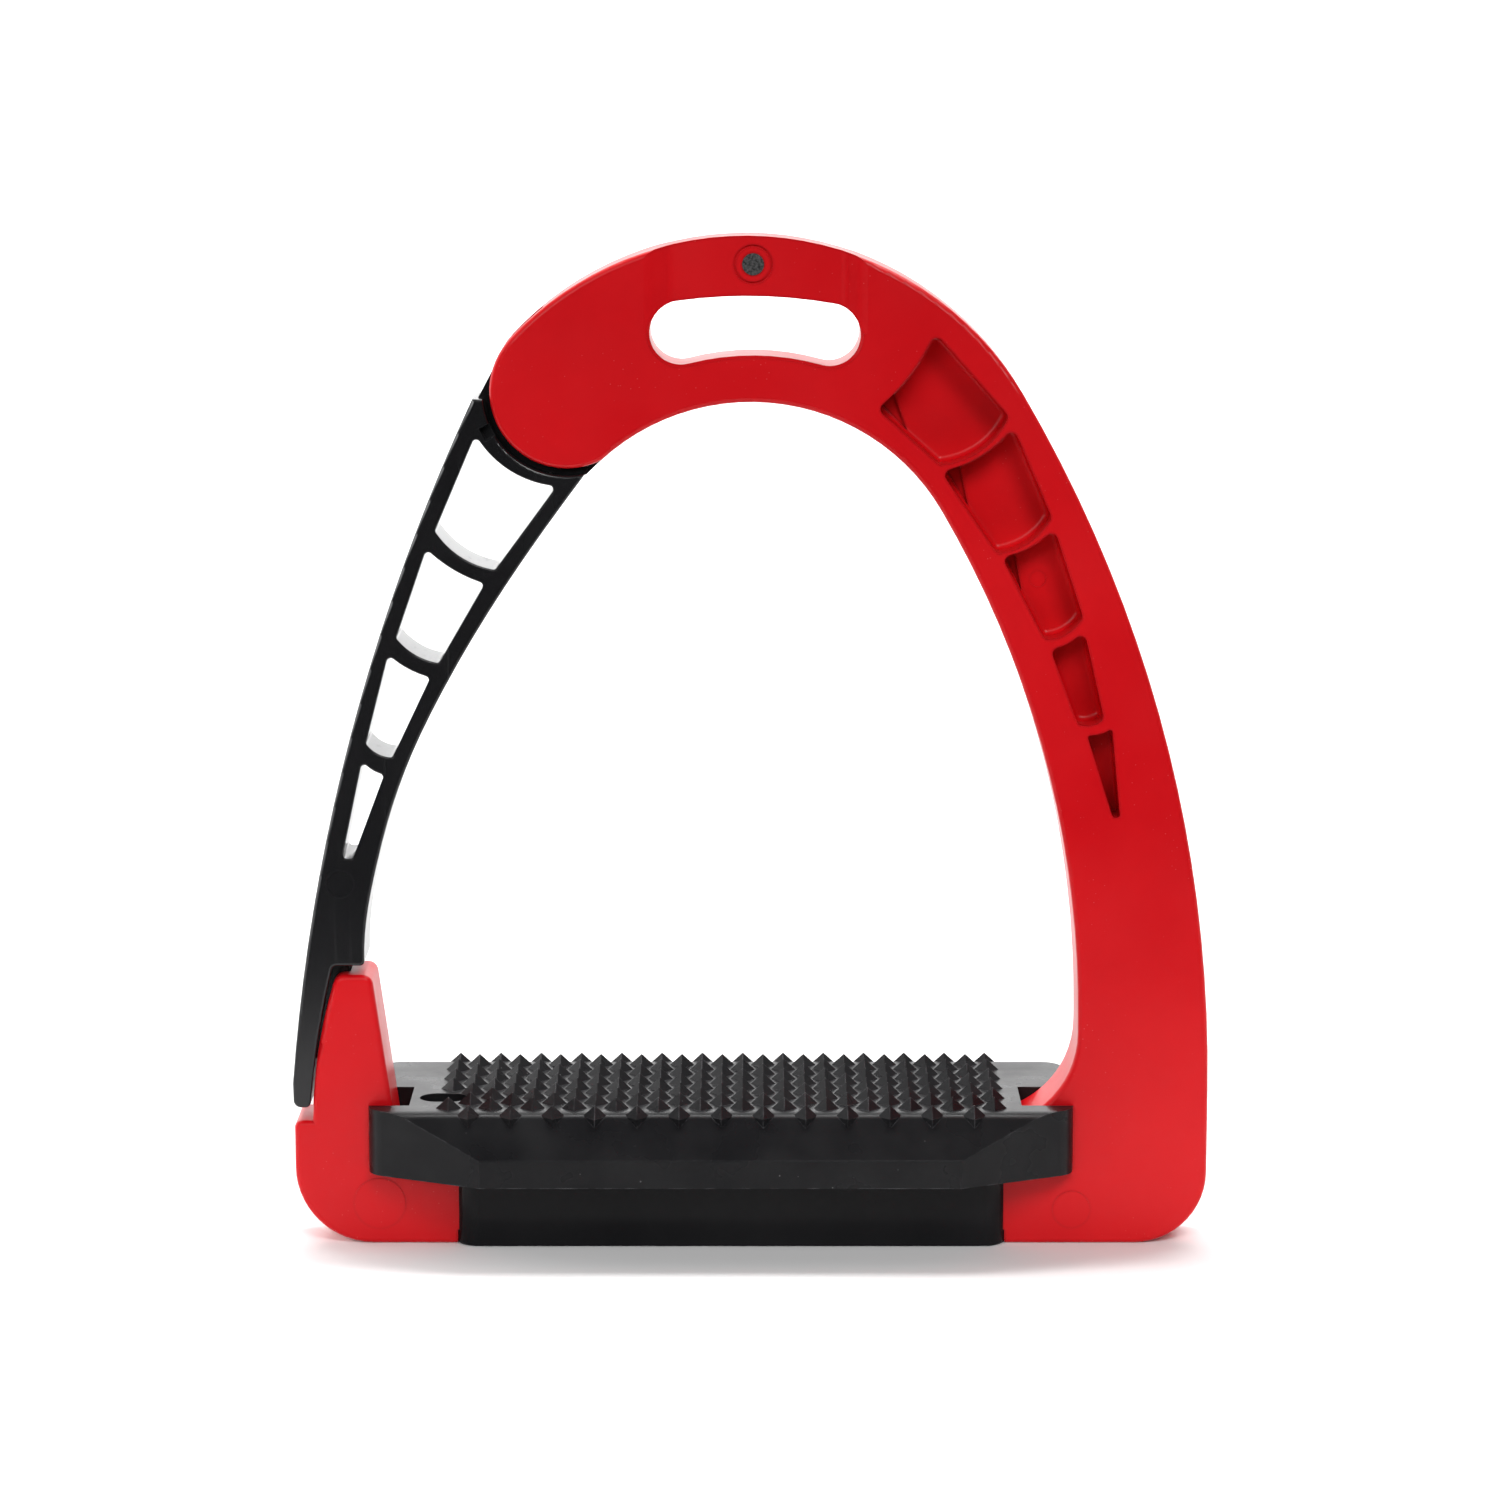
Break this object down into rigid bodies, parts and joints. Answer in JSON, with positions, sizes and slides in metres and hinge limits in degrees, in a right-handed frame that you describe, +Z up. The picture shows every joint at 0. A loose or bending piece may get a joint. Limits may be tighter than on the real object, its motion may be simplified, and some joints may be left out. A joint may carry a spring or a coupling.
{
  "type": "stirrup iron",
  "caption": "Arched riding stirrup with a hinged breakaway side arm, a curved leather slot and a wide studded foot tread.",
  "frame": {"origin": "on the underside of the foot bed, midway between the stirrup's outer sides and in the middle of the frame's thickness", "axes": "+X across the stirrup towards the closed leg (the release arm is at -X), +Y through the frame's thickness towards the wider overhang of the tread, +Z up towards the leather slot"},
  "size_m": [0.1582, 0.0526, 0.1743],
  "materials": {
    "frame_plastic": "satin, fine moulded grain",
    "arm_plastic": "gloss",
    "tread_plastic": "fine grain",
    "clamp_plastic": "gloss",
    "steel": "plain",
    "dark_steel": "dulled",
    "magnet_plating": "nickel plated",
    "bush_brass": "turned"
  },
  "bodies": {
    "stirrup": {"frame": "frame_plastic", "hinge_pin": "steel", "hinge_cap": "arm_plastic", "torsion_spring": "steel", "eye_pin": "dark_steel", "post_magnet": "magnet_plating", "tread": "tread_plastic", "deck_screw": "dark_steel", "tread_clamp": "clamp_plastic", "tread_screws": "dark_steel"},
    "arm": {"release_arm": "arm_plastic", "hinge_bush": "bush_brass", "arm_magnet": "magnet_plating"}
  },
  "joints": [
    {"name": "arm_hinge", "type": "hinge", "parent": "stirrup", "child": "arm", "pos_m": [-0.03112, 0, 0.14819], "axis": [0, 1, 0], "range_deg": [0, 70], "stiffness_Nm_per_rad": 0.07, "springref_deg": -34.38, "deforming": ["torsion_spring"]}
  ]
}
